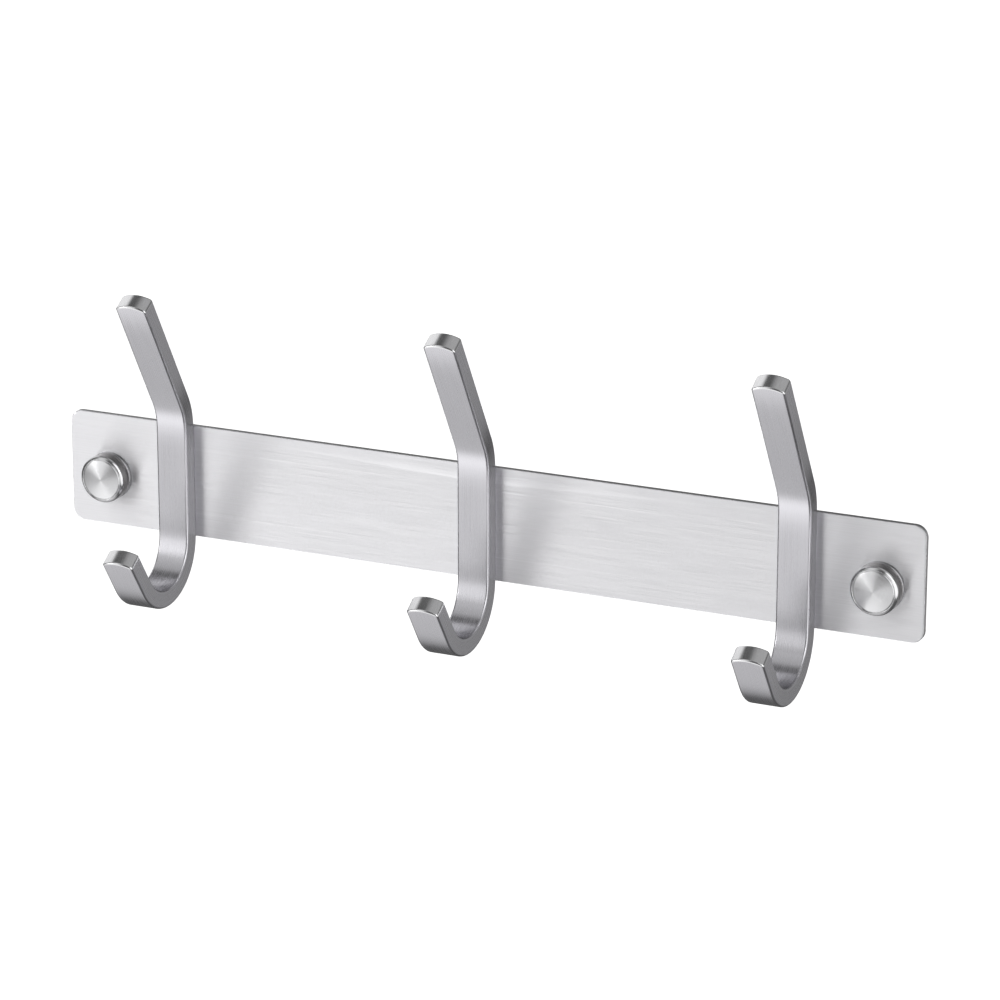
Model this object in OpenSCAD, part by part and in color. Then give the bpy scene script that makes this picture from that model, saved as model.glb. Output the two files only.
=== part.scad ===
// Wall hook rack: a flat steel plate carrying three double hooks bent from flat bar.
// Each hook is held from behind by two countersunk screws. Two wall screws pass through
// cap bases and the plate into wall plugs, and round caps screw over their heads.
//
// Millimetres. The origin is the middle of the plate's back face, which lies on the wall.
// +X runs along the plate, +Y points into the wall and +Z points up.

/* [Back plate] */
// Length of the back plate
plate_length = 300; // [300:1:360]
// Height of the back plate
plate_height = 38; // [36:1:50]
// Thickness of the back plate
plate_thickness = 2; // [2:0.1:3]
// Radius of the plate's four corners
plate_corner = 4; // [1:0.5:10]

/* [Hooks] */
// Distance from one hook to the next
hook_pitch = 109; // [60:1:115]
// Width of the flat bar that the hooks are bent from
bar_width = 11; // [9:0.5:14]
// Thickness of the flat bar
bar_thickness = 6; // [5.5:0.1:7]
// Radius of the bar's long edges
bar_edge = 0.8; // [0.2:0.1:1.2]
// Crown radius across the width of the bar's two ends
end_crown = 10; // [9:0.5:40]
// Inside radius of the bend under the upper prong
upper_bend_radius = 16; // [8:1:30]
// Angle that the upper prong leans forward
upper_bend_angle = 30.52; // [15:0.01:45]
// Straight length of the upper prong
upper_prong = 45.5; // [20:0.5:60]
// Length of straight shank below mid-height, where the lower bend starts
lower_shank = 18; // [16:1:24]
// Inside radius of the lower bend
lower_bend_radius = 13.5; // [10:0.5:20]
// Angle that the lower bend turns through
lower_bend_angle = 146.18; // [120:0.01:165]
// Straight length of the lower tip
lower_tip = 15.5; // [6:0.5:20]

/* [Hook screws] */
// Distance between the two screws of one hook
hook_screw_spacing = 22; // [18:1:26]
// Thread diameter of a hook screw
hook_screw_d = 3; // [2.5:0.5:3]
// Head diameter of a hook screw
hook_screw_head = 5.6; // [5:0.1:5.6]
// Overall length of a hook screw, head included
hook_screw_length = 6; // [5:0.5:6]

/* [Wall fixings] */
// Distance between the two wall screws
fixing_span = 271; // [260:1:280]
// How far the wall screws lie below the plate's mid-height
fixing_drop = 2; // [0:0.5:4]
// Diameter of the plate's holes for the wall screws
fixing_hole = 5; // [4.5:0.1:5]

/* [Cap bases] */
// Outside diameter of a cap base and of its cap
cap_d = 16; // [16:0.5:20]
// Thickness of a cap base's flange
flange_thickness = 1.5; // [1.5:0.1:3]
// Diameter of a cap base's threaded boss
boss_d = 12; // [11:0.1:12]
// Height of the boss above the flange
boss_height = 4; // [3.5:0.1:6]
// Diameter of the hole through a cap base
base_hole = 4.5; // [4.2:0.1:4.8]

/* [Screw caps] */
// Height of a cap, from its rim to the middle of its face
cap_height = 5.5; // [5.5:0.1:8]
// Width of the bevel around a cap's face
cap_bevel = 0.9; // [0.2:0.1:1]
// How far the middle of a cap's face stands above the bevel
cap_dome = 0.6; // [0.1:0.1:0.6]

/* [Wall screws and plugs] */
// Thread diameter of a wall screw
wall_screw_d = 4; // [3.5:0.1:4]
// Head diameter of a wall screw
wall_screw_head = 7.6; // [7:0.1:7.8]
// Overall length of a wall screw, head included
wall_screw_length = 35; // [30:1:45]
// Outside diameter of a wall plug
plug_d = 6; // [5.6:0.1:7]
// Length of a wall plug
plug_length = 30; // [28:1:40]
// How far a wall plug is sunk below the wall's face
plug_sink = 3; // [2.5:0.5:6]

/* [Hidden] */
$fn = 96;

left = -1;
middle = 0;
right = 1;
upper = 1;
lower = -1;

// Cuts run this far past the faces that they open
past = 1;
// Play around a screw in the hole that it holds in
screw_play = 0.02;
// Extra diameter of a hole that a screw passes through
clearance = 0.4;
// Empty depth left past the tip of a screw
tip_gap = 0.5;
// Play between a boss and the bore of its cap
cap_play = 0.05;
// How far a countersunk head lies below the face around it
head_sink = 0.15;
// Play between a countersunk head and its seat
seat_play = 0.05;
// Height of the straight rim around a countersunk head
head_rim = 0.2;

plate_front = -plate_thickness;
bar_front = plate_front - bar_thickness;
upper_shank = plate_height / 2;

// Length of a bar's end that the crown and its round rim take up
crown_margin = 0.1;
crowned = end_crown - sqrt(pow(end_crown - bar_edge, 2) - pow(bar_width / 2, 2)) + crown_margin;

clearance_hole = hook_screw_d + clearance;
// Depth of a hook's blind holes, measured from the bar's back
blind_depth = hook_screw_length - plate_thickness + tip_gap;

base_front = plate_front - flange_thickness;
boss_front = base_front - boss_height;
boss_edge = 0.4;
flange_edge = 0.3;
// The straight mouth of the boss, above the cone that the wall screw's head rests in
recess_d = wall_screw_head + clearance;
recess_depth = 0.6;
// Top of the wall screw's head when its cone rests in the boss
head_front = boss_front + recess_depth + clearance / 2 - head_rim - seat_play;

// The bore of a cap ends this far past the top of the boss
cap_headroom = 0.3;
cap_rim_edge = 0.3;
dome_facets = 720;

// Length of the taper at the end of each kind of screw, and width of its cross recess
wall_screw_tip = 5;
wall_screw_cross = 0.9;
hook_screw_tip = 0.5;
hook_screw_cross = 0.7;
// Span of a cross recess as a share of the head, and its depth as a share of the cone
cross_span = 0.55;
cross_depth = 0.8;
// A screw ends in a flat this share of its diameter
tip_flat = 0.1;

// The plug's whole front part grips the drilled hole, and its rear part spreads
plug_sleeve = 9;
plug_collar = 1;
plug_bore_play = 0.05;
plug_teeth = 5;
plug_tooth_relief = 0.05;
plug_tooth_depth = 0.45;
plug_slit = 0.8;
plug_end_hole = 2.2;

// Places a fixing's own Z axis on the wall screw's line, pointing out of the wall
module at_fixing(side) {
    translate([side * fixing_span / 2, 0, -fixing_drop])
        rotate([90, 0, 0])
            children();
}

// Places a hook screw's own Z axis on its line, pointing out of the wall
module at_hook_screw(side, level) {
    translate([side * hook_pitch, 0, level * hook_screw_spacing / 2])
        rotate([90, 0, 0])
            children();
}

// A rectangle with round corners, centred on the origin
module rounded_rectangle(size, radius) {
    square([size[0] - 2 * radius, size[1]], center = true);
    square([size[0], size[1] - 2 * radius], center = true);
    for (x = [-1, 1], y = [-1, 1])
        translate([x * (size[0] / 2 - radius), y * (size[1] / 2 - radius)])
            circle(r = radius);
}

// A cross recess, cut down from z = 0
module cross_recess(span, width, depth) {
    translate([0, 0, -depth])
        linear_extrude(depth + past)
            for (turn = [0, 90])
                rotate(turn)
                    square([span, width], center = true);
}

// A countersunk screw standing on its tip, with the top of its head at z = 0
module countersunk_screw(thread_d, head_d, length, tip, cross) {
    cone = (head_d - thread_d) / 2;
    difference() {
        union() {
            translate([0, 0, -head_rim])
                cylinder(d = head_d, h = head_rim);
            translate([0, 0, -head_rim - cone])
                cylinder(d1 = thread_d, d2 = head_d, h = cone);
            translate([0, 0, tip - length])
                cylinder(d = thread_d, h = length - tip - head_rim - cone);
            translate([0, 0, -length])
                cylinder(d1 = thread_d * tip_flat, d2 = thread_d, h = tip);
        }
        cross_recess(head_d * cross_span, cross, cone * cross_depth);
    }
}

module back_plate() {
    color("gainsboro")
    difference() {
        rotate([90, 0, 0])
            linear_extrude(plate_thickness)
                rounded_rectangle([plate_length, plate_height], plate_corner);
        for (side = [left, right])
            at_fixing(side)
                translate([0, 0, -past])
                    cylinder(d = fixing_hole, h = plate_thickness + 2 * past);
        for (side = [left, middle, right], level = [lower, upper])
            at_hook_screw(side, level)
                hook_screw_seat();
    }
}

// The hole and the countersink that take a hook screw from the plate's back
module hook_screw_seat() {
    mouth = hook_screw_head + 2 * (head_rim + head_sink + seat_play);
    cone = (mouth - clearance_hole) / 2;
    translate([0, 0, -past])
        cylinder(d = clearance_hole, h = plate_thickness + 2 * past);
    translate([0, 0, -past])
        cylinder(d1 = mouth + 2 * past, d2 = clearance_hole, h = cone + past);
}

// The bar's section, with its front face on y = 0 and its back on y = bar_thickness
module bar_section() {
    translate([0, bar_thickness / 2])
        rounded_rectangle([bar_width, bar_thickness], bar_edge);
}

// Straight bar along +Z, crowned across its width at the far end
module bar_end(length) {
    intersection() {
        linear_extrude(length)
            bar_section();
        union() {
            translate([-bar_width, -past, -past])
                cube([2 * bar_width, bar_thickness + 2 * past, length - crowned + past]);
            translate([0, bar_thickness / 2, length - end_crown])
                rotate([90, 0, 0])
                    rotate_extrude()
                        intersection() {
                            rounded_rectangle([2 * end_crown, bar_thickness], bar_edge);
                            translate([0, -bar_thickness])
                                square([end_crown, 2 * bar_thickness]);
                        }
        }
    }
}

// The bar bent around the X axis, from +Y towards +Z
module bend(radius, angle) {
    reach = 2 * (radius + bar_thickness);
    intersection() {
        rotate([90, 0, 90])
            rotate_extrude()
                translate([radius, 0])
                    rotate(-90)
                        bar_section();
        translate([-reach, -reach, 0])
            cube([2 * reach, 2 * reach, reach]);
        rotate([angle, 0, 0])
            translate([-reach, -reach, -2 * reach])
                cube([2 * reach, 2 * reach, 2 * reach]);
    }
}

// One bend and its straight end, turning forward from a shank that points up
module bent_arm(radius, angle, length) {
    translate([0, bar_front - radius, 0]) {
        bend(radius, angle);
        rotate([angle, 0, 0])
            translate([0, radius, 0])
                bar_end(length);
    }
}

module hook(side) {
    color("silver")
    difference() {
        translate([side * hook_pitch, 0, 0])
            union() {
                translate([0, bar_front, -lower_shank])
                    linear_extrude(lower_shank + upper_shank)
                        bar_section();
                translate([0, 0, upper_shank])
                    bent_arm(upper_bend_radius, upper_bend_angle, upper_prong);
                translate([0, 0, -lower_shank])
                    mirror([0, 0, 1])
                        bent_arm(lower_bend_radius, lower_bend_angle, lower_tip);
            }
        for (level = [lower, upper])
            at_hook_screw(side, level)
                translate([0, 0, plate_thickness - past])
                    cylinder(d = hook_screw_d + 2 * screw_play, h = blind_depth + past);
    }
}

module hook_screw(side, level) {
    color("darkgray")
    at_hook_screw(side, level)
        translate([0, 0, head_sink])
            mirror([0, 0, 1])
                countersunk_screw(hook_screw_d, hook_screw_head, hook_screw_length,
                    hook_screw_tip, hook_screw_cross);
}

// A flange under a threaded boss, bored and countersunk for the wall screw
module cap_base(side) {
    cone = (recess_d - base_hole) / 2;
    color("lightgray")
    at_fixing(side)
        translate([0, 0, plate_thickness])
            difference() {
                union() {
                    cylinder(d = cap_d, h = flange_thickness - flange_edge);
                    translate([0, 0, flange_thickness - flange_edge])
                        cylinder(d1 = cap_d, d2 = cap_d - 2 * flange_edge, h = flange_edge);
                    cylinder(d = boss_d, h = flange_thickness + boss_height - boss_edge);
                    translate([0, 0, flange_thickness + boss_height - boss_edge])
                        cylinder(d1 = boss_d, d2 = boss_d - 2 * boss_edge, h = boss_edge);
                }
                translate([0, 0, -past])
                    cylinder(d = base_hole, h = flange_thickness + boss_height + 2 * past);
                translate([0, 0, flange_thickness + boss_height - recess_depth])
                    cylinder(d = recess_d, h = recess_depth + past);
                translate([0, 0, flange_thickness + boss_height - recess_depth - cone])
                    cylinder(d1 = base_hole, d2 = recess_d, h = cone);
            }
}

// A hollow cap: a bored skirt, a bevel, and a slightly domed face
module screw_cap(side) {
    face_d = cap_d - 2 * cap_bevel;
    shoulder = cap_height - cap_dome;
    dome_radius = (pow(face_d / 2, 2) + pow(cap_dome, 2)) / (2 * cap_dome);
    color("silver")
    at_fixing(side)
        translate([0, 0, plate_thickness + flange_thickness])
            difference() {
                union() {
                    cylinder(d1 = cap_d - 2 * cap_rim_edge, d2 = cap_d, h = cap_rim_edge);
                    translate([0, 0, cap_rim_edge])
                        cylinder(d = cap_d, h = shoulder - cap_bevel - cap_rim_edge);
                    translate([0, 0, shoulder - cap_bevel])
                        cylinder(d1 = cap_d, d2 = face_d, h = cap_bevel);
                    rotate_extrude()
                        intersection() {
                            translate([0, cap_height - dome_radius])
                                circle(r = dome_radius, $fn = dome_facets);
                            translate([0, shoulder])
                                square([face_d / 2, cap_dome]);
                        }
                }
                translate([0, 0, -past])
                    cylinder(d = boss_d + 2 * cap_play, h = boss_height + cap_headroom + past);
            }
}

module wall_screw(side) {
    color("darkgray")
    at_fixing(side)
        translate([0, 0, -head_front])
            countersunk_screw(wall_screw_d, wall_screw_head, wall_screw_length,
                wall_screw_tip, wall_screw_cross);
}

// A plain sleeve at the front, then saw-toothed legs split by two crossing slits
module wall_plug(side) {
    bore = wall_screw_d + 2 * plug_bore_play;
    bore_depth = wall_screw_length + head_front - plug_sink + tip_gap;
    legs = plug_length - plug_sleeve;
    tooth = legs / plug_teeth;
    color("dimgray")
    at_fixing(side)
        translate([0, 0, -plug_sink])
            mirror([0, 0, 1])
                difference() {
                    union() {
                        cylinder(d = plug_d, h = plug_sleeve);
                        for (i = [0 : plug_teeth - 1])
                            translate([0, 0, plug_sleeve + i * tooth])
                                cylinder(
                                    d1 = plug_d - 2 * plug_tooth_relief,
                                    d2 = plug_d - 2 * plug_tooth_depth,
                                    h = tooth
                                );
                    }
                    translate([0, 0, -past])
                        cylinder(d = bore, h = bore_depth + past);
                    translate([0, 0, -past])
                        cylinder(d = plug_end_hole, h = plug_length + 2 * past);
                    translate([0, 0, plug_sleeve + plug_collar])
                        linear_extrude(plug_length)
                            for (turn = [45, 135])
                                rotate(turn)
                                    square([plug_d + past, plug_slit], center = true);
                }
}

back_plate();
hook(left);  // hook_left
hook(middle);  // hook_middle
hook(right);  // hook_right
hook_screw(left, upper);  // hook_screw_left_upper
hook_screw(left, lower);  // hook_screw_left_lower
hook_screw(middle, upper);  // hook_screw_middle_upper
hook_screw(middle, lower);  // hook_screw_middle_lower
hook_screw(right, upper);  // hook_screw_right_upper
hook_screw(right, lower);  // hook_screw_right_lower
cap_base(left);  // cap_base_left
cap_base(right);  // cap_base_right
screw_cap(left);  // screw_cap_left
screw_cap(right);  // screw_cap_right
wall_screw(left);  // wall_screw_left
wall_screw(right);  // wall_screw_right
wall_plug(left);  // wall_plug_left
wall_plug(right);  // wall_plug_right
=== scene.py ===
"""Wall hook rack: a brushed steel plate with three double hooks, screw caps and wall fixings.

Metres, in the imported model's frame: +X along the plate, +Y into the wall, +Z up.
"""
import math

import bmesh
import bpy
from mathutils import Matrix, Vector


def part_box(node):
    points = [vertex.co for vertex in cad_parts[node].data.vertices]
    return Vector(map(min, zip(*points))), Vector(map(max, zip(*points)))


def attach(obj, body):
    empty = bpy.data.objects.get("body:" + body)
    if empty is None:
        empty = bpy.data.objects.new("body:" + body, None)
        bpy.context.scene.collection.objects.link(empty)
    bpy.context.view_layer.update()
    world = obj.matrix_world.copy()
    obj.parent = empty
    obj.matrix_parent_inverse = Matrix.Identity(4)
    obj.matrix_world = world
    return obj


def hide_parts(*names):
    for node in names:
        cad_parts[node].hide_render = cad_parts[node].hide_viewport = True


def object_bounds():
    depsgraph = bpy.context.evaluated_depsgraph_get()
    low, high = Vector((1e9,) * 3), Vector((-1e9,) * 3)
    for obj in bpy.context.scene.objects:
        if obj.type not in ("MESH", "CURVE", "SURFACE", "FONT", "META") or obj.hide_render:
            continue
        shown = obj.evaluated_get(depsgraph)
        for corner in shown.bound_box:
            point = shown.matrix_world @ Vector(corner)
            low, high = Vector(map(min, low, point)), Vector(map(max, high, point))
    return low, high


MM = 0.001
SIDES = {"left": -1, "right": 1}
HOOKS = {"left": -1, "middle": 0, "right": 1}
LEVELS = {"upper": 1, "lower": -1}
FACING = "Facing"

# Back plate
PLATE_CORNER = 4 * MM
PLATE_EDGE = 0.3 * MM
PLATE_EDGE_STEPS = 4
PLATE_CORNER_STEPS = 16
HOLE_SEGMENTS = 48
HOLE_EDGE = 0.1 * MM
EDGE_BAND = 0.6 * MM
EDGE_FACING = 0.8
FIXING_HOLE_RADIUS = 2.5 * MM
HOOK_SCREW_HOLE_RADIUS = 1.7 * MM
HOOK_SCREW_MOUTH_RADIUS = 3.2 * MM

# Hook bar
BAR_THICKNESS = 6 * MM
BAR_EDGE = 0.8 * MM
BAR_EDGE_STEPS = 6
BAR_FACE_STEPS = 12
END_CROWN = 10 * MM
END_ROUND = 0.6 * MM
END_STEPS = 6
UPPER_BEND_RADIUS = 16 * MM
UPPER_BEND_ANGLE = math.radians(30.52)
UPPER_PRONG = 45.5 * MM
LOWER_SHANK = 18 * MM
LOWER_BEND_RADIUS = 13.5 * MM
LOWER_BEND_ANGLE = math.radians(146.18)
LOWER_TIP = 15.5 * MM
BEND_STEP = math.radians(2)
STRAIGHT_STEP = 3 * MM
BEND_EASE = 5 * MM
TIP_EASE = 14 * MM
TIP_TILT = 0.2
SIDE_LEAN = 0.26
SIDE_LEAN_PLACE = 46 * MM
SIDE_LEAN_REACH = 9 * MM

# Cap bases and caps
FLANGE_THICKNESS = 1.5 * MM
FLANGE_EDGE = 0.3 * MM
BOSS_RADIUS = 6 * MM
BASE_HOLE_RADIUS = 2.25 * MM
RECESS_RADIUS = 4 * MM
RECESS_DEPTH = 0.6 * MM
CAP_BEVEL = 0.9 * MM
CAP_BEVEL_STEPS = 6
CAP_BEVEL_SWELL = 0.08 * MM
CAP_DOME = 0.6 * MM
CAP_BORE_RADIUS = 6.05 * MM
CAP_BORE_DEPTH = 4.3 * MM
FINE_PITCH = 1 * MM
FINE_THREAD_DEPTH = 0.4 * MM
CAP_BORE_EDGE = 0.2 * MM
CAP_RIM_EDGE = 0.3 * MM
CAP_SKIRT_GROOVES = (0.75 * MM, 1.35 * MM)
CAP_SKIRT_GROOVE_DEPTH = 0.1 * MM
CAP_FACE_GROOVE_WIDTH = 0.42 * MM
CAP_FACE_GROOVE_DEPTH = 0.25 * MM
CAP_FACE_RINGS = 24

# Screws: radii, lengths, thread pitch and half the width of the cross recess
HEAD_RIM = 0.2 * MM
CROSS_SPAN = 0.55
CROSS_DEPTH = 0.8
CROSS_FLOOR_SPAN = 0.34
CROSS_FLOOR_WIDTH = 0.7
TIP_ROWS = 8
HOOK_SCREW = {
    "head": 2.8 * MM, "core": 1.2 * MM, "crest": 1.5 * MM, "length": 6 * MM,
    "tip": 0.5 * MM, "pitch": 0.5 * MM, "cross": 0.35 * MM,
}
WALL_SCREW = {
    "head": 3.8 * MM, "core": 1.4 * MM, "crest": 2 * MM, "length": 35 * MM,
    "tip": 5 * MM, "pitch": 1.8 * MM, "cross": 0.45 * MM,
}

# Turns that lay a piece's own Z axis along the way out of the wall, or into it
OUT_OF_WALL = (math.pi / 2, 0, 0)
INTO_WALL = (-math.pi / 2, 0, 0)

# Smoothness
REVOLVED_SEGMENTS = 96
SCREW_SEGMENTS = 64
FINE_THREAD_STEPS = 8
SCREW_THREAD_STEPS = 9
WELD_DISTANCE = 0.0005 * MM
PLUG_EDGE = 0.08 * MM

# Most of a noise texture's values lie in this span
NOISE_SPAN = (0.3, 0.7)
# Pointiness from where an edge starts to look worn to where it is fully worn
WORN_EDGE = (0.53, 0.62)
WORN_CREST = (0.52, 0.6)
# Pointiness from where a thread's root starts to look dirty to where it is darkest
DIRTY_ROOT = (0.48, 0.4)

# The studio: patches of light as (direction, full inside, gone outside, strength), in degrees
AMBIENT = 0.14
SOFTBOXES = (
    # What the plate and the hooks' front faces see, from below to above
    ((-0.39, -0.36, -0.85), 10, 42, 0.72),
    ((-0.40, -0.73, -0.55), 6, 25, 0.75),
    ((-0.46, -0.81, -0.34), 8, 36, 0.41),
    ((-0.55, -0.81, 0.22), 12, 27, 1.12),
    ((-0.40, -0.68, 0.62), 2, 15, 0.3),
    ((-0.40, -0.45, 0.80), 8, 26, 0.62),
    # What the right sides see, directly and by way of the plate
    ((0.45, -0.84, -0.28), 12, 30, 0.15),
    ((0.72, 0.68, -0.10), 10, 44, 0.3),
    # What the caps see
    ((0.03, -0.93, -0.37), 8, 20, 0.8),
    ((-0.74, -0.65, 0.12), 8, 20, 0.9),
    ((0.62, -0.50, 0.60), 16, 26, 1.6),
    ((0.88, -0.45, 0.00), 22, 34, 1.6),
    ((-0.72, -0.64, 0.26), 4, 10, 4.0),
    # What the hooks' crowned ends see
    ((-0.77, 0.42, 0.45), 19, 30, 1.05),
    ((0.35, 0.10, 0.93), 14, 38, 0.4),
)
FLOOR_REACH = 12.0
FLOOR_DROP = 0.5

# Camera
CAMERA_AZIMUTH = math.radians(24.83)
CAMERA_ELEVATION = math.radians(17.78)
CAMERA_DISTANCE = 1.381
CAMERA_AIM = Vector((6.84 * MM, -2 * MM, 8.35 * MM))
CAMERA_LENS = 156.3


def fresh_material(name):
    """A new material, with its node tree and its Principled shader."""
    material = bpy.data.materials.new(name)
    material.use_nodes = True
    return material, material.node_tree, material.node_tree.nodes["Principled BSDF"]


def add(tree, kind, settings=None, inputs=None):
    """Adds a shader node. An input is set to a value, or linked if it is given a socket."""
    node = tree.nodes.new("ShaderNode" + kind)
    for key, value in (settings or {}).items():
        setattr(node, key, value)
    for key, value in (inputs or {}).items():
        if isinstance(value, bpy.types.NodeSocket):
            tree.links.new(value, node.inputs[key])
        else:
            node.inputs[key].default_value = value
    return node


def link(tree, source, shader, name):
    tree.links.new(source, shader.inputs[name])


def noise(tree, vector, scale, detail=2.0, roughness=0.5):
    """Noise stretched by a different scale along each axis, in features per metre."""
    mapping = add(tree, "Mapping", inputs={"Vector": vector, "Scale": scale})
    made = add(
        tree,
        "TexNoise",
        inputs={"Vector": mapping.outputs[0], "Scale": 1.0, "Detail": detail, "Roughness": roughness},
    )
    return made.outputs[0]


def remap(tree, value, source, target):
    """Maps a value from one range to another, and clamps it."""
    made = add(
        tree,
        "MapRange",
        inputs={
            "Value": value,
            "From Min": source[0],
            "From Max": source[1],
            "To Min": target[0],
            "To Max": target[1],
        },
    )
    return made.outputs[0]


def combine(tree, operation, a, b):
    return add(tree, "Math", {"operation": operation}, {0: a, 1: b}).outputs[0]


def tone(tree, colour, value):
    """A colour made lighter or darker by a value around 1."""
    base = add(tree, "RGB")
    base.outputs[0].default_value = (*colour, 1)
    made = add(tree, "VectorMath", {"operation": "SCALE"}, {0: base.outputs[0], "Scale": value})
    return made.outputs[0]


def edge_mask(tree, start, end):
    """1 on sharp convex edges and 0 on flats."""
    geometry = add(tree, "NewGeometry")
    return remap(tree, geometry.outputs["Pointiness"], (start, end), (0, 1))


def brushed_steel(
    name, colour, roughness, coordinates, grain, streak, cloud, anisotropy, depth, tangent=None
):
    """Steel with directional brushing. grain, streak and cloud are noise scales, finest first."""
    material, tree, shader = fresh_material(name)
    place = add(tree, "TexCoord").outputs[coordinates]
    fine = noise(tree, place, grain, detail=3, roughness=0.6)
    long = noise(tree, place, streak, detail=2, roughness=0.55)
    soft = noise(tree, place, cloud, detail=1)
    worn = edge_mask(tree, *WORN_EDGE)
    shade = combine(tree, "MULTIPLY", remap(tree, fine, NOISE_SPAN, (0.95, 1.04)),
                    remap(tree, long, NOISE_SPAN, (0.965, 1.03)))
    shade = combine(tree, "MULTIPLY", shade, remap(tree, soft, NOISE_SPAN, (0.98, 1.02)))
    shade = combine(tree, "MULTIPLY", shade, remap(tree, worn, (0, 1), (1.0, 1.06)))
    link(tree, tone(tree, colour, shade), shader, "Base Color")
    rough = combine(tree, "MULTIPLY", remap(tree, fine, NOISE_SPAN, (0.88, 1.15)),
                    remap(tree, long, NOISE_SPAN, (0.94, 1.07)))
    rough = combine(tree, "MULTIPLY", rough, remap(tree, worn, (0, 1), (roughness, roughness * 0.75)))
    link(tree, rough, shader, "Roughness")
    height = combine(tree, "ADD", fine, long)
    bump = add(tree, "Bump", inputs={"Strength": 0.6, "Distance": depth, "Height": height})
    link(tree, bump.outputs[0], shader, "Normal")
    shader.inputs["Metallic"].default_value = 1.0
    shader.inputs["Anisotropic"].default_value = anisotropy
    if tangent == "UV":
        link(tree, add(tree, "Tangent", {"direction_type": "UV_MAP"}).outputs[0], shader, "Tangent")
    elif tangent:
        made = add(tree, "CombineXYZ", inputs={0: tangent[0], 1: tangent[1], 2: tangent[2]})
        link(tree, made.outputs[0], shader, "Tangent")
    return material


def turned_steel(name, colour, roughness, ring_pitch, anisotropy, depth):
    """Steel turned on a lathe: rings around the piece's own Z axis."""
    material, tree, shader = fresh_material(name)
    place = add(tree, "TexCoord").outputs["Object"]
    flat = add(tree, "VectorMath", {"operation": "MULTIPLY"}, {0: place, 1: (1, 1, 0)})
    radius = add(tree, "VectorMath", {"operation": "LENGTH"}, {0: flat.outputs[0]}).outputs["Value"]
    height = add(tree, "SeparateXYZ", inputs={0: place}).outputs[2]
    across = combine(tree, "ADD", radius, height)
    spot = add(tree, "CombineXYZ", inputs={0: across}).outputs[0]
    rings = noise(tree, spot, (1 / ring_pitch,) * 3, detail=3, roughness=0.7)
    soft = noise(tree, place, (180,) * 3, detail=2)
    worn = edge_mask(tree, *WORN_EDGE)
    shade = combine(tree, "MULTIPLY", remap(tree, rings, NOISE_SPAN, (0.93, 1.05)),
                    remap(tree, soft, NOISE_SPAN, (0.97, 1.02)))
    shade = combine(tree, "MULTIPLY", shade, remap(tree, worn, (0, 1), (1.0, 1.06)))
    link(tree, tone(tree, colour, shade), shader, "Base Color")
    rough = combine(tree, "MULTIPLY", remap(tree, rings, NOISE_SPAN, (0.85, 1.2)),
                    remap(tree, soft, NOISE_SPAN, (roughness * 0.92, roughness * 1.1)))
    link(tree, rough, shader, "Roughness")
    bump = add(tree, "Bump", inputs={"Strength": 0.5, "Distance": depth, "Height": rings})
    link(tree, bump.outputs[0], shader, "Normal")
    around = add(tree, "Tangent", {"direction_type": "RADIAL", "axis": "Z"})
    link(tree, around.outputs[0], shader, "Tangent")
    shader.inputs["Metallic"].default_value = 1.0
    shader.inputs["Anisotropic"].default_value = anisotropy
    shader.inputs["Anisotropic Rotation"].default_value = 0.25
    return material


def plated_steel(name, colour, roughness):
    """Plain screw steel: a mottled plating with dirt left in the thread and worn crests."""
    material, tree, shader = fresh_material(name)
    place = add(tree, "TexCoord").outputs["Object"]
    mottle = noise(tree, place, (900,) * 3, detail=4, roughness=0.65)
    soft = noise(tree, place, (150,) * 3, detail=2)
    worn = edge_mask(tree, *WORN_CREST)
    groove = edge_mask(tree, *DIRTY_ROOT)
    shade = combine(tree, "MULTIPLY", remap(tree, mottle, NOISE_SPAN, (0.88, 1.06)),
                    remap(tree, soft, NOISE_SPAN, (0.95, 1.04)))
    shade = combine(tree, "MULTIPLY", shade, remap(tree, worn, (0, 1), (1.0, 1.15)))
    shade = combine(tree, "MULTIPLY", shade, remap(tree, groove, (0, 1), (1.0, 0.7)))
    link(tree, tone(tree, colour, shade), shader, "Base Color")
    rough = remap(tree, mottle, NOISE_SPAN, (roughness * 0.85, roughness * 1.2))
    link(tree, rough, shader, "Roughness")
    bump = add(tree, "Bump", inputs={"Strength": 0.4, "Distance": 0.01 * MM, "Height": mottle})
    link(tree, bump.outputs[0], shader, "Normal")
    shader.inputs["Metallic"].default_value = 1.0
    return material


def moulded_nylon(name, colour):
    """Slightly milky nylon with a fine moulded texture and paler worn edges."""
    material, tree, shader = fresh_material(name)
    place = add(tree, "TexCoord").outputs["Object"]
    texture = noise(tree, place, (2500,) * 3, detail=3, roughness=0.6)
    soft = noise(tree, place, (120,) * 3, detail=2)
    worn = edge_mask(tree, *WORN_EDGE)
    shade = combine(tree, "MULTIPLY", remap(tree, soft, NOISE_SPAN, (0.94, 1.04)),
                    remap(tree, texture, NOISE_SPAN, (0.98, 1.02)))
    shade = combine(tree, "MULTIPLY", shade, remap(tree, worn, (0, 1), (1.0, 1.12)))
    link(tree, tone(tree, colour, shade), shader, "Base Color")
    link(tree, remap(tree, texture, NOISE_SPAN, (0.42, 0.58)), shader, "Roughness")
    bump = add(tree, "Bump", inputs={"Strength": 0.35, "Distance": 0.02 * MM, "Height": texture})
    link(tree, bump.outputs[0], shader, "Normal")
    shader.inputs["Subsurface Weight"].default_value = 0.12
    shader.inputs["Subsurface Scale"].default_value = 1 * MM
    shader.inputs["Subsurface Radius"].default_value = (1.0, 0.9, 0.8)
    return material


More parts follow.
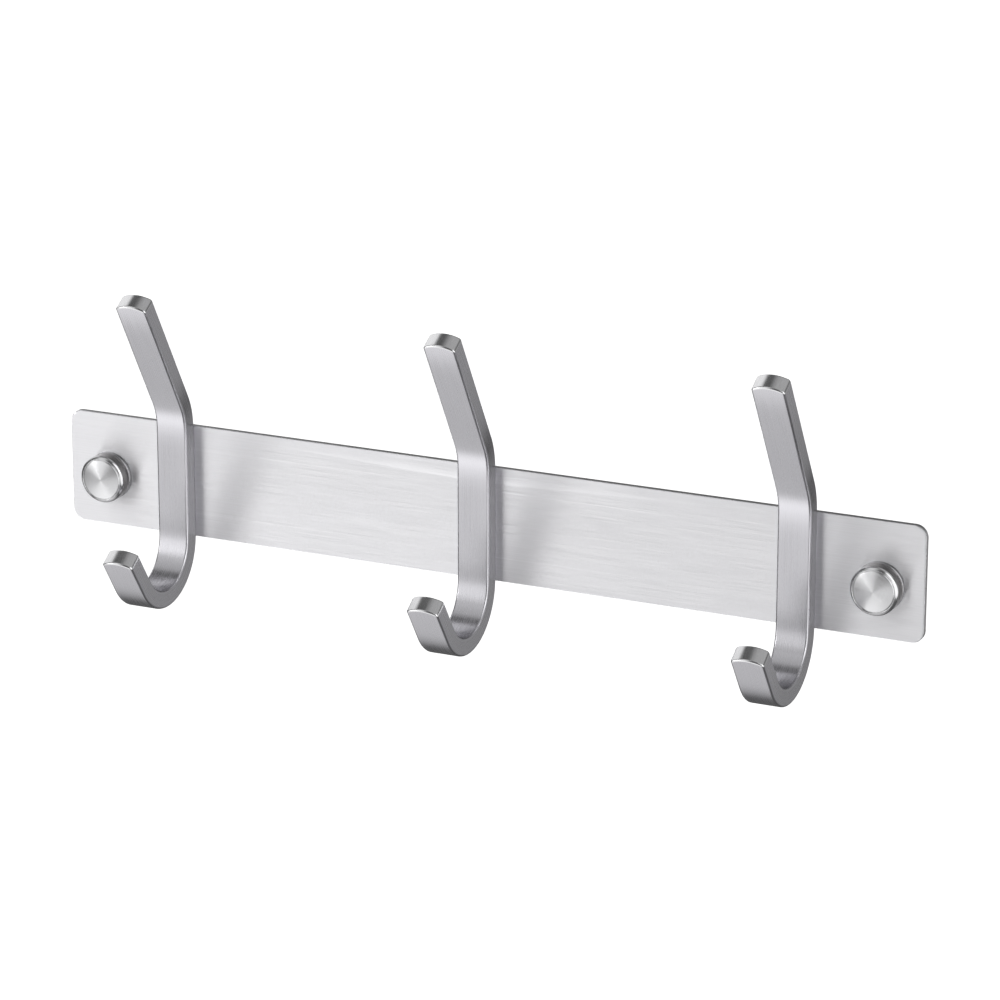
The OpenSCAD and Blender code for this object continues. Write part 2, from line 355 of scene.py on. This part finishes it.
def finish_piece(bm, name, body, node, materials, location=(0, 0, 0), turn=(0, 0, 0)):
    """Turns a bmesh into a smooth piece that rides on a body and stands for a CAD node."""
    bmesh.ops.remove_doubles(bm, verts=bm.verts, dist=WELD_DISTANCE)
    bmesh.ops.recalc_face_normals(bm, faces=bm.faces)
    for face in bm.faces:
        face.smooth = True
    mesh = bpy.data.meshes.new(name)
    bm.to_mesh(mesh)
    bm.free()
    for material in materials:
        mesh.materials.append(material)
    piece = bpy.data.objects.new(name, mesh)
    bpy.context.scene.collection.objects.link(piece)
    piece.location = location
    piece.rotation_euler = turn
    if FACING in mesh.attributes:
        facings = [Vector(item.vector).normalized() for item in mesh.attributes[FACING].data]
        mesh.normals_split_custom_set_from_vertices(facings)
        mesh.attributes.remove(mesh.attributes[FACING])
    else:
        weighted = piece.modifiers.new("Even shading", "WEIGHTED_NORMAL")
        weighted.weight = 100
    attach(piece, body)
    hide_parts(node)
    return piece


def skin(bm, rings, marks=None, materials=None, facings=None):
    """Joins rings of points with quads. marks gives each ring's (around, along) texture places."""
    layer = bm.loops.layers.uv.new("Grain") if marks else None
    facing_layer = bm.verts.layers.float_vector.new(FACING) if facings else None
    rows = [[bm.verts.new(point) for point in ring] for ring in rings]
    if facings:
        for row, directions in zip(rows, facings):
            for vertex, direction in zip(row, directions):
                vertex[facing_layer] = direction
    count = len(rings[0])
    for row in range(len(rows) - 1):
        for i in range(count):
            j = (i + 1) % count
            face = bm.faces.new((rows[row][i], rows[row][j], rows[row + 1][j], rows[row + 1][i]))
            if materials:
                face.material_index = materials[row]
            if layer:
                corners = ((row, i), (row, i + 1), (row + 1, i + 1), (row + 1, i))
                for loop, (r, k) in zip(face.loops, corners):
                    around, along = marks[r]
                    loop[layer].uv = (around[k], along[k])


def plate_outline(low, high, inset):
    """Points around the plate's rounded rectangle, moved inward by an inset."""
    points = []
    radius = PLATE_CORNER - inset
    centres = (
        (high.x - PLATE_CORNER, high.z - PLATE_CORNER, 0),
        (low.x + PLATE_CORNER, high.z - PLATE_CORNER, 90),
        (low.x + PLATE_CORNER, low.z + PLATE_CORNER, 180),
        (high.x - PLATE_CORNER, low.z + PLATE_CORNER, 270),
    )
    for x, z, start in centres:
        for k in range(PLATE_CORNER_STEPS + 1):
            angle = math.radians(start + 90 * k / PLATE_CORNER_STEPS)
            points.append((x + radius * math.cos(angle), z + radius * math.sin(angle)))
    return points


def circle(x, z, radius):
    """Points around a hole in the plate."""
    angles = [math.tau * k / HOLE_SEGMENTS for k in range(HOLE_SEGMENTS)]
    return [(x + radius * math.cos(angle), z + radius * math.sin(angle)) for angle in angles]


def wall_of_rings(bm, rings):
    """Joins closed rings of points with quads, and returns the first and last ring's edges."""
    rows = [[bm.verts.new((x, y, z)) for x, z in ring] for ring, y in rings]
    for lower, upper in zip(rows, rows[1:]):
        for i in range(len(lower)):
            j = (i + 1) % len(lower)
            bm.faces.new((lower[i], lower[j], upper[j], upper[i]))
    ends = []
    for row in (rows[0], rows[-1]):
        ends.append([bm.edges.get((row[i], row[(i + 1) % len(row)])) for i in range(len(row))])
    return ends


def build_plate(name, node, steel, edge_steel):
    """The back plate: rounded corners, softly broken edges, fixing holes and countersinks."""
    low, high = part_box(node)
    bm = bmesh.new()
    rings = [(plate_outline(low, high, EDGE_BAND), low.y)]
    for k in range(PLATE_EDGE_STEPS + 1):
        angle = math.pi / 2 * k / PLATE_EDGE_STEPS
        inset = PLATE_EDGE * (1 - math.sin(angle))
        rings.append((plate_outline(low, high, inset), low.y + PLATE_EDGE * (1 - math.cos(angle))))
    for k in range(PLATE_EDGE_STEPS + 1):
        angle = math.pi / 2 * k / PLATE_EDGE_STEPS
        inset = PLATE_EDGE * (1 - math.cos(angle))
        rings.append((plate_outline(low, high, inset), high.y - PLATE_EDGE * (1 - math.sin(angle))))
    rings.append((plate_outline(low, high, EDGE_BAND), high.y))
    front, back = wall_of_rings(bm, rings)
    bm.normal_update()
    # Edge faces take the second material, whose darker colour is painted shade.
    for face in bm.faces:
        if abs(face.normal.y) < EDGE_FACING:
            face.material_index = 1
    for side in SIDES:
        x, z = fixing_axis("wall_screw_" + side)
        ends = wall_of_rings(bm, [
            (circle(x, z, FIXING_HOLE_RADIUS + EDGE_BAND), low.y),
            (circle(x, z, FIXING_HOLE_RADIUS + HOLE_EDGE), low.y),
            (circle(x, z, FIXING_HOLE_RADIUS), low.y + HOLE_EDGE),
            (circle(x, z, FIXING_HOLE_RADIUS), high.y - HOLE_EDGE),
            (circle(x, z, FIXING_HOLE_RADIUS + HOLE_EDGE), high.y),
            (circle(x, z, FIXING_HOLE_RADIUS + EDGE_BAND), high.y),
        ])
        front += ends[0]
        back += ends[1]
    for hook in HOOKS:
        for level in LEVELS:
            x, z = fixing_axis(f"hook_screw_{hook}_{level}")
            slope = HOOK_SCREW_MOUTH_RADIUS - HOOK_SCREW_HOLE_RADIUS
            ends = wall_of_rings(bm, [
                (circle(x, z, HOOK_SCREW_HOLE_RADIUS + EDGE_BAND), low.y),
                (circle(x, z, HOOK_SCREW_HOLE_RADIUS + HOLE_EDGE), low.y),
                (circle(x, z, HOOK_SCREW_HOLE_RADIUS), low.y + HOLE_EDGE),
                (circle(x, z, HOOK_SCREW_HOLE_RADIUS), high.y - slope),
                (circle(x, z, HOOK_SCREW_MOUTH_RADIUS - HOLE_EDGE), high.y - HOLE_EDGE),
                (circle(x, z, HOOK_SCREW_MOUTH_RADIUS + HOLE_EDGE), high.y),
                (circle(x, z, HOOK_SCREW_MOUTH_RADIUS + EDGE_BAND), high.y),
            ])
            front += ends[0]
            back += ends[1]
    for loop in (front, back):
        bmesh.ops.triangle_fill(bm, use_beauty=True, use_dissolve=False, edges=loop)
    return finish_piece(bm, name, "rack", node, [steel, edge_steel])


def bar_outline(width, thickness):
    """Points and outward normals around the bar's section, anticlockwise from the back edge."""
    half_x = width / 2 - BAR_EDGE
    half_t = thickness / 2 - BAR_EDGE
    outline = []
    corners = (
        (half_x, -half_t, -90), (half_x, half_t, 0), (-half_x, half_t, 90), (-half_x, -half_t, 180),
    )
    for corner, (x, t, start) in enumerate(corners):
        for k in range(BAR_EDGE_STEPS + 1):
            angle = math.radians(start + 90 * k / BAR_EDGE_STEPS)
            normal = (math.cos(angle), math.sin(angle))
            outline.append((x + BAR_EDGE * normal[0], t + BAR_EDGE * normal[1], normal))
        if corner % 2:
            way = -1 if corner == 1 else 1
            for k in range(1, BAR_FACE_STEPS):
                share = k / BAR_FACE_STEPS
                outline.append((-way * half_x * (1 - 2 * share), -way * thickness / 2, (0, -way)))
    return outline


def bar_frame(turn):
    """The bar's running direction, and the direction from its back face to its front one."""
    way = Vector((0, math.sin(turn), -math.cos(turn)))
    return way, Vector((0, -math.cos(turn), -math.sin(turn)))


def straight(start, end, turn):
    """Places along a straight part, apart from its two ends."""
    steps = round((end - start).length / STRAIGHT_STEP)
    return [(start.lerp(end, k / steps), turn) for k in range(1, steps)]


def hook_path(front, back, top):
    """The bar's middle line as (point, turn). The turn is 0 where the bar runs straight down."""
    half = (back - front) / 2
    bends = []
    for z, radius, start, end in (
        (top, UPPER_BEND_RADIUS, UPPER_BEND_ANGLE, 0.0),
        (-LOWER_SHANK, LOWER_BEND_RADIUS, 0.0, -LOWER_BEND_ANGLE),
    ):
        centre = Vector((0, front - radius, z))
        steps = round(abs(end - start) / BEND_STEP)
        turns = [start + (end - start) * k / steps for k in range(steps + 1)]
        bends.append([(centre - bar_frame(turn)[1] * (radius + half), turn) for turn in turns])
    upper, lower = bends
    first = upper[0][0] - bar_frame(upper[0][1])[0] * UPPER_PRONG
    last = lower[-1][0] + bar_frame(lower[-1][1])[0] * LOWER_TIP
    return [
        (first, upper[0][1]), *straight(first, upper[0][0], upper[0][1]), *upper,
        *straight(upper[-1][0], lower[0][0], 0.0), *lower,
        *straight(lower[-1][0], last, lower[-1][1]), (last, lower[-1][1]),
    ]


def eased_turns(lengths, turns):
    """The turns smoothed along the bar, because a bent bar runs softly into its straight parts."""
    eased = []
    for here in lengths:
        total, weights = 0.0, 0.0
        for (s0, t0), (s1, t1) in zip(zip(lengths, turns), zip(lengths[1:], turns[1:])):
            offset = (s0 + s1) / 2 - here
            weight = (s1 - s0) * math.exp(-0.5 * (offset / BEND_EASE) ** 2)
            total += weight * (t0 + t1) / 2
            weights += weight
        eased.append(total / weights)
    return eased


def crown(x):
    """How far the bar's crowned end falls back at a distance x from its middle."""
    return math.sqrt(END_CROWN ** 2 - x ** 2) - END_CROWN


def end_rings(outline, place, sign, offset):
    """Rings that round off one end of the bar, from its sides to the middle line of its end."""
    point, turn = place
    way, normal = bar_frame(turn)
    girth = perimeter(outline)
    rings = []
    for k in range(END_STEPS + 2):
        ring, along, facing = [], [], []
        angle = math.pi / 2 * min(k / END_STEPS, 1)
        inset = END_ROUND * (1 - math.cos(angle))
        lift = END_ROUND * (math.sin(angle) - 1)
        for x, t, (nx, nt) in outline:
            x_in = x - nx * inset
            t_in = (t - nt * inset) if k <= END_STEPS else 0
            reach = crown(x_in) + lift
            ring.append(point + Vector((x_in, 0, 0)) + normal * t_in + way * (sign * reach))
            along.append(offset + sign * (reach + (t_in - t) * nt * -1))
            side = Vector((nx, 0, 0)) + normal * nt + way * (sign * TIP_TILT)
            top = way * sign + Vector((x_in / END_CROWN, 0, 0))
            facing.append(side.normalized() * math.cos(angle) + top.normalized() * math.sin(angle))
        along.append(along[0])
        rings.append((ring, (girth, along), facing))
    return rings


def perimeter(outline):
    """Distance around the section to each point, and once more for the point that closes it."""
    total, marks = 0.0, [0.0]
    for k in range(len(outline)):
        x0, t0, _ = outline[k]
        x1, t1, _ = outline[(k + 1) % len(outline)]
        total += math.hypot(x1 - x0, t1 - t0)
        marks.append(total)
    return marks


def build_hook(name, node, steel, end_steel):
    """One hook: a flat bar with round edges and crowned ends, swept along its two bends."""
    low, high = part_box(node)
    plate_low, plate_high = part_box("back_plate")
    outline = bar_outline(high.x - low.x, BAR_THICKNESS)
    places = hook_path(plate_low.y - BAR_THICKNESS, plate_low.y, plate_high.z)
    lengths = [0.0]
    for (before, _), (after, _) in zip(places, places[1:]):
        lengths.append(lengths[-1] + (after - before).length)
    turns = eased_turns(lengths, [turn for _, turn in places])
    girth = perimeter(outline)
    rings = list(reversed(end_rings(outline, places[0], -1, 0.0)))
    for (point, turn), length, eased in list(zip(places, lengths, turns))[1:-1]:
        normal = bar_frame(turn)[1]
        way, shown = bar_frame(eased)
        tilt = math.exp(-((lengths[-1] - length) / TIP_EASE) ** 2) - math.exp(-(length / TIP_EASE) ** 2)
        ring = [point + Vector((x, 0, 0)) + normal * t for x, t, _ in outline]
        lean = SIDE_LEAN * math.exp(-((length - SIDE_LEAN_PLACE) / SIDE_LEAN_REACH) ** 2)
        facing = []
        for _, _, (nx, nt) in outline:
            leaning = shown * (nt - lean * abs(nx))
            facing.append(Vector((nx, 0, 0)) + leaning + way * TIP_TILT * tilt)
        rings.append((ring, (girth, [length] * (len(outline) + 1)), facing))
    rings += end_rings(outline, places[-1], 1, lengths[-1])
    points, marks, facings = zip(*rings)
    ground = END_STEPS + 1
    materials = [1] * ground + [0] * (len(rings) - 1 - 2 * ground) + [1] * ground
    bm = bmesh.new()
    skin(bm, points, marks, materials, facings)
    bmesh.ops.translate(bm, verts=bm.verts, vec=((low.x + high.x) / 2, 0, 0))
    return finish_piece(bm, name, "rack", node, [steel, end_steel])


def thread_form(phase):
    """A rounded V thread: 0 at the root, 1 at the crest."""
    rise = 1 - abs(2 * (phase % 1.0) - 1)
    return rise * rise * (3 - 2 * rise)


def thread_rows(bottom, top, root, crest, pitch, steps, fade):
    """Rows of a helical thread whose depth fades out over its last stretches."""
    rows = []
    count = round((top - bottom) / pitch * steps)
    for k in range(count + 1):
        z = bottom + (top - bottom) * k / count
        near_end = min(z - bottom, top - z) / fade
        grip = min(1.0, near_end)

        def radius(angle, z=z, grip=grip):
            phase = z / pitch - angle / math.tau
            return root + (crest - root) * grip * thread_form(phase)

        rows.append((radius, z))
    return rows


def polar_skin(rows, segments, materials=None):
    """A mesh of revolution whose rows are (radius, height); a radius may depend on the angle."""
    angles = [math.tau * k / segments for k in range(segments)]
    rings = []
    for radius, height in rows:
        ring = []
        for angle in angles:
            r = radius(angle) if callable(radius) else radius
            z = height(angle) if callable(height) else height
            ring.append(Vector((r * math.cos(angle), r * math.sin(angle), z)))
        rings.append(ring)
    bm = bmesh.new()
    skin(bm, rings, materials=materials)
    return bm


def rounded_corner(r0, z0, r1, z1, bulge_r, bulge_z, steps=4):
    """Rows of a quarter round from (r0, z0) to (r1, z1) around the centre (bulge_r, bulge_z)."""
    rows = []
    for k in range(steps + 1):
        angle = math.pi / 2 * k / steps
        r = bulge_r + (r0 - bulge_r) * math.cos(angle) + (r1 - bulge_r) * math.sin(angle)
        z = bulge_z + (z0 - bulge_z) * math.cos(angle) + (z1 - bulge_z) * math.sin(angle)
        rows.append((r, z))
    return rows


def fixing_axis(node):
    """Where a round CAD node's axis crosses y = 0."""
    low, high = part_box(node)
    return (low.x + high.x) / 2, (low.z + high.z) / 2


def build_screw_cap(name, node, body, steels):
    """A screw cap: threaded bore, ringed skirt, swollen bevel, a fine groove and a domed face.

    steels gives the material of the skirt with the bore, of the bevel, and of the face; the skirt's
    darker colour is painted shade.
    """
    low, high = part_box(node)
    x, z = fixing_axis(node)
    outer = (high.x - low.x) / 2
    height = high.y - low.y
    shoulder = height - CAP_DOME
    face = outer - CAP_BEVEL
    inner = CAP_BORE_RADIUS - CAP_BORE_EDGE
    corner = CAP_BORE_DEPTH - CAP_BORE_EDGE
    root = CAP_BORE_RADIUS + FINE_THREAD_DEPTH
    rows = [(0.0, CAP_BORE_DEPTH), (inner, CAP_BORE_DEPTH)]
    rows += rounded_corner(inner, CAP_BORE_DEPTH, CAP_BORE_RADIUS, corner, inner, corner)
    thread = thread_rows(
        0.5 * MM, 3.9 * MM, root, CAP_BORE_RADIUS, FINE_PITCH, FINE_THREAD_STEPS, FINE_PITCH / 2
    )
    rows += [(root, 3.95 * MM), *reversed(thread), (root, CAP_RIM_EDGE)]
    rows += [(root + CAP_RIM_EDGE, 0.0), (outer - CAP_RIM_EDGE, 0.0)]
    rows += rounded_corner(
        outer - CAP_RIM_EDGE, 0.0, outer, CAP_RIM_EDGE, outer - CAP_RIM_EDGE, CAP_RIM_EDGE
    )
    for groove in CAP_SKIRT_GROOVES:
        rows += [
            (outer, groove - 0.13 * MM),
            (outer - CAP_SKIRT_GROOVE_DEPTH, groove - 0.05 * MM),
            (outer - CAP_SKIRT_GROOVE_DEPTH, groove + 0.05 * MM),
            (outer, groove + 0.13 * MM),
        ]
    bevel_bottom = shoulder - CAP_BEVEL
    rows += [(outer, bevel_bottom - 0.15 * MM)]
    skirt = len(rows)
    for k in range(CAP_BEVEL_STEPS + 1):
        share = k / CAP_BEVEL_STEPS
        swell = CAP_BEVEL_SWELL * math.sin(math.pi * share)
        rows.append((outer - 0.02 * MM - (CAP_BEVEL - 0.04 * MM) * share + swell,
                     bevel_bottom + (CAP_BEVEL - 0.06 * MM) * share + swell))
    rows += [(face - 0.02 * MM, shoulder - 0.01 * MM)]
    rim = len(rows)
    domed = face - CAP_FACE_GROOVE_WIDTH
    rows += [(face - 0.06 * MM, shoulder - 0.02 * MM)]
    rows += [(face - 0.12 * MM, shoulder - CAP_FACE_GROOVE_DEPTH)]
    rows += [(domed + 0.06 * MM, shoulder - CAP_FACE_GROOVE_DEPTH)]
    rows += [(domed, shoulder + 0.01 * MM)]
    for k in range(1, CAP_FACE_RINGS + 1):
        share = 1 - k / CAP_FACE_RINGS
        rise = (CAP_DOME - 0.01 * MM) * (1 - share ** 2)
        rows.append((domed * share, shoulder + 0.01 * MM + rise))
    marks = [0] * skirt + [1] * (rim - skirt) + [2] * (len(rows) - 1 - rim)
    bm = polar_skin(rows, REVOLVED_SEGMENTS, marks)
    return finish_piece(bm, name, body, node, steels, (x, high.y, z), OUT_OF_WALL)


def build_cap_base(name, node, steel):
    """A cap base: a flange under an externally threaded boss, bored and countersunk."""
    low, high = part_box(node)
    x, z = fixing_axis(node)
    outer = (high.x - low.x) / 2
    top = high.y - low.y
    cone = RECESS_RADIUS - BASE_HOLE_RADIUS
    rows = [(BASE_HOLE_RADIUS + 0.2 * MM, 0.0), (outer - 0.15 * MM, 0.0), (outer, 0.15 * MM)]
    rows += rounded_corner(
        outer, FLANGE_THICKNESS - FLANGE_EDGE, outer - FLANGE_EDGE, FLANGE_THICKNESS,
        outer - FLANGE_EDGE, FLANGE_THICKNESS - FLANGE_EDGE,
    )
    root = BOSS_RADIUS - FINE_THREAD_DEPTH
    rows += [(root + 0.05 * MM, FLANGE_THICKNESS), (root, FLANGE_THICKNESS + 0.05 * MM)]
    rows += thread_rows(
        FLANGE_THICKNESS + 0.3 * MM, top - 0.45 * MM, root, BOSS_RADIUS,
        FINE_PITCH, FINE_THREAD_STEPS, FINE_PITCH / 2,
    )
    rows += [(root, top - 0.35 * MM), (root - 0.3 * MM, top)]
    rows += [(RECESS_RADIUS + 0.1 * MM, top), (RECESS_RADIUS, top - 0.1 * MM)]
    rows += [(RECESS_RADIUS, top - RECESS_DEPTH), (BASE_HOLE_RADIUS, top - RECESS_DEPTH - cone)]
    rows += [(BASE_HOLE_RADIUS, 0.2 * MM), (BASE_HOLE_RADIUS + 0.2 * MM, 0.0)]
    bm = polar_skin(rows, REVOLVED_SEGMENTS)
    return finish_piece(bm, name, "rack", node, [steel], (x, high.y, z), OUT_OF_WALL)


def cross_radius(span, width):
    """Distance from the axis to a cross-shaped outline, as a function of the angle."""

    def radius(angle):
        turn = angle % (math.pi / 2)
        turn = min(turn, math.pi / 2 - turn)
        along, across = math.cos(turn), math.sin(turn)
        to_end = span / along
        to_side = width / across if across > 1e-9 else to_end
        return min(to_end, to_side)

    return radius


def build_screw(name, node, steel, sizes, turn):
    """A countersunk screw with a cross recess and a helical thread, head end at local z = 0."""
    head, core, crest, cross = sizes["head"], sizes["core"], sizes["crest"], sizes["cross"]
    pitch, length, tip = sizes["pitch"], sizes["length"], sizes["tip"]
    low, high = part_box(node)
    x, z = fixing_axis(node)
    cone = head - crest
    deep = cone * CROSS_DEPTH
    wide = cross_radius(head * CROSS_SPAN, cross)
    floor = cross_radius(head * CROSS_FLOOR_SPAN, cross * CROSS_FLOOR_WIDTH)
    rows = [(0.0, -deep * 1.15), (floor, -deep)]
    rows += [(wide, -0.08 * MM), (lambda angle: wide(angle) + 0.05 * MM, 0.0)]
    rows += [(head * 0.8, 0.0), (head - 0.08 * MM, 0.0), (head, -0.08 * MM), (head, -HEAD_RIM)]
    rows += [(crest, -HEAD_RIM - cone), (core + 0.1 * MM, -HEAD_RIM - cone - 0.3 * MM)]
    bottom = -length + tip
    thread = thread_rows(
        bottom, -HEAD_RIM - cone - 0.35 * MM, core, crest, pitch, SCREW_THREAD_STEPS, pitch
    )
    rows += list(reversed(thread))
    for k in range(1, TIP_ROWS):
        share = k / TIP_ROWS
        rows.append((core * (1 - share) ** 0.8, bottom - tip * share * 0.98))
    rows += [(0.0, -length)]
    bm = polar_skin(rows, SCREW_SEGMENTS)
    front = low.y if turn is OUT_OF_WALL else high.y
    return finish_piece(bm, name, "rack", node, [steel], (x, front, z), turn)


def dress_cad(node, material, edge):
    """Gives a carried-over CAD node its material and soft edges."""
    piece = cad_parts[node]
    piece.data.materials.clear()
    piece.data.materials.append(material)
    weld = piece.modifiers.new("Join facets", "WELD")
    weld.merge_threshold = WELD_DISTANCE
    bevel = piece.modifiers.new("Soft edges", "BEVEL")
    bevel.width = edge
    bevel.segments = 2
    bevel.limit_method = "ANGLE"
    bevel.angle_limit = math.radians(40)
    weighted = piece.modifiers.new("Even shading", "WEIGHTED_NORMAL")
    weighted.weight = 100


def softbox(tree, direction, toward, inner, outer, strength):
    """A round patch of light around a direction, with a soft edge. Angles are in degrees."""
    axis = Vector(toward).normalized()
    facing = add(tree, "VectorMath", {"operation": "DOT_PRODUCT"}, {0: direction, 1: tuple(axis)})
    made = add(
        tree,
        "MapRange",
        {"interpolation_type": "SMOOTHSTEP"},
        {
            "Value": facing.outputs["Value"],
            "From Min": math.cos(math.radians(outer)),
            "From Max": math.cos(math.radians(inner)),
            "To Min": 0.0,
            "To Max": strength,
        },
    )
    return made.outputs[0]


def build_studio():
    """A dim room with soft patches of light around it, against a white backdrop."""
    world = bpy.data.worlds.new("Studio")
    bpy.context.scene.world = world
    world.use_nodes = True
    tree = world.node_tree
    tree.nodes.clear()
    direction = add(tree, "TexCoord").outputs["Generated"]
    light = AMBIENT
    for toward, inner, outer, strength in SOFTBOXES:
        light = combine(tree, "ADD", light, softbox(tree, direction, toward, inner, outer, strength))
    lit = add(tree, "Background", inputs={"Color": (1, 1, 1, 1), "Strength": light})
    seen = add(tree, "Background", inputs={"Color": (1, 1, 1, 1), "Strength": 1.0})
    ray = add(tree, "LightPath")
    mixed = add(
        tree,
        "MixShader",
        inputs={0: ray.outputs["Is Camera Ray"], 1: lit.outputs[0], 2: seen.outputs[0]},
    )
    add(tree, "OutputWorld", inputs={"Surface": mixed.outputs[0]})


def build_floor(low):
    """A plain white floor, well below the rack because the rack hangs on a wall."""
    mesh = bpy.data.meshes.new("Floor")
    height = low.z - FLOOR_DROP
    corners = [
        (x * FLOOR_REACH, y * FLOOR_REACH, height) for x, y in ((-1, -1), (1, -1), (1, 1), (-1, 1))
    ]
    mesh.from_pydata(corners, [], [(0, 1, 2, 3)])
    floor = bpy.data.objects.new("Floor", mesh)
    bpy.context.scene.collection.objects.link(floor)
    material, tree, shader = fresh_material("Floor white")
    shader.inputs["Base Color"].default_value = (0.9, 0.9, 0.9, 1)
    shader.inputs["Roughness"].default_value = 1.0
    shader.inputs["Emission Color"].default_value = (1, 1, 1, 1)
    shader.inputs["Emission Strength"].default_value = 0.65
    mesh.materials.append(material)
    floor.visible_glossy = False


def build_camera():
    """The camera looks down a little, from the rack's right."""
    back = Vector((
        math.sin(CAMERA_AZIMUTH) * math.cos(CAMERA_ELEVATION),
        -math.cos(CAMERA_AZIMUTH) * math.cos(CAMERA_ELEVATION),
        math.sin(CAMERA_ELEVATION),
    ))
    data = bpy.data.cameras.new("Camera")
    data.sensor_width = 36
    data.lens = CAMERA_LENS
    data.clip_start = 0.05
    data.clip_end = 100
    camera = bpy.data.objects.new("Camera", data)
    camera.location = CAMERA_AIM + back * CAMERA_DISTANCE
    camera.rotation_euler = (-back).to_track_quat("-Z", "Y").to_euler()
    bpy.context.scene.collection.objects.link(camera)
    bpy.context.scene.camera = camera


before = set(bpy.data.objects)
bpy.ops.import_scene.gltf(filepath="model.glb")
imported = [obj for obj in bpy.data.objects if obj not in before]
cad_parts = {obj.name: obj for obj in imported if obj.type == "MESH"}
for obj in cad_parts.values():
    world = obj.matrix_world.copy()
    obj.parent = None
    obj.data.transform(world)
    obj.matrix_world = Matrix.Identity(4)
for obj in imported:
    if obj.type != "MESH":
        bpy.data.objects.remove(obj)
cad_low, cad_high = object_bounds()

scene = bpy.context.scene
scene.view_settings.view_transform = "Standard"

plate_steel = brushed_steel(
    "Plate steel", (0.9, 0.897, 0.918), 0.47, "Object",
    grain=(60, 6000, 6000), streak=(14, 1500, 1500), cloud=(12, 40, 40),
    anisotropy=1.0, depth=0.006 * MM, tangent=(0, 0, 1),
)
# The plate's edges: unbrushed steel, its colour darker than the face as painted shade along the edges.
plate_edge_painted_shade_steel = brushed_steel(
    "Plate edge steel, painted shade", (0.6, 0.6, 0.61), 0.3, "Object",
    grain=(900, 900, 900), streak=(300, 300, 300), cloud=(12, 40, 40),
    anisotropy=0.0, depth=0.002 * MM,
)
hook_steel = brushed_steel(
    "Hook steel", (0.543, 0.537, 0.564), 0.28, "UV",
    grain=(6000, 90, 1), streak=(1500, 25, 1), cloud=(60, 40, 1),
    anisotropy=0.4, depth=0.0025 * MM, tangent="UV",
)
hook_end_steel = brushed_steel(
    "Hook end steel", (0.62, 0.62, 0.63), 0.17, "UV",
    grain=(6000, 400, 1), streak=(1500, 100, 1), cloud=(60, 40, 1),
    anisotropy=0.0, depth=0.002 * MM,
)
# The skirt's steel is the bevel's steel made darker: painted shade on the caps' sides.
cap_side_painted_shade_steel = turned_steel("Cap side steel, painted shade", (0.33, 0.32, 0.32), 0.13, 0.12 * MM, 0.3, 0.001 * MM)
cap_face_steel = turned_steel("Cap face steel", (0.6, 0.6, 0.61), 0.24, 0.09 * MM, 0.95, 0.003 * MM)
cap_bevel_steel = turned_steel("Cap bevel steel", (0.6, 0.6, 0.61), 0.15, 0.12 * MM, 0.3, 0.001 * MM)
base_steel = turned_steel("Base steel", (0.46, 0.46, 0.47), 0.2, 0.15 * MM, 0.3, 0.002 * MM)
hook_screw_steel = plated_steel("Hook screw steel", (0.58, 0.58, 0.6), 0.3)
wall_screw_steel = plated_steel("Wall screw steel", (0.6, 0.59, 0.57), 0.34)
nylon = moulded_nylon("Nylon", (0.55, 0.56, 0.57))

build_plate("Back_plate", "back_plate", plate_steel, plate_edge_painted_shade_steel)
for name in HOOKS:
    build_hook("Hook_" + name, "hook_" + name, hook_steel, hook_end_steel)
    for level in LEVELS:
        build_screw(
            f"Hook_screw_{name}_{level}", f"hook_screw_{name}_{level}",
            hook_screw_steel, HOOK_SCREW, INTO_WALL,
        )
for name in SIDES:
    build_cap_base("Cap_base_" + name, "cap_base_" + name, base_steel)
    build_screw_cap(
        "Screw_cap_" + name, "screw_cap_" + name, name + "_cap",
        [cap_side_painted_shade_steel, cap_bevel_steel, cap_face_steel],
    )
    build_screw(
        "Wall_screw_" + name, "wall_screw_" + name,
        wall_screw_steel, WALL_SCREW, OUT_OF_WALL,
    )
    dress_cad("wall_plug_" + name, nylon, PLUG_EDGE)

build_studio()
build_floor(cad_low)
build_camera()
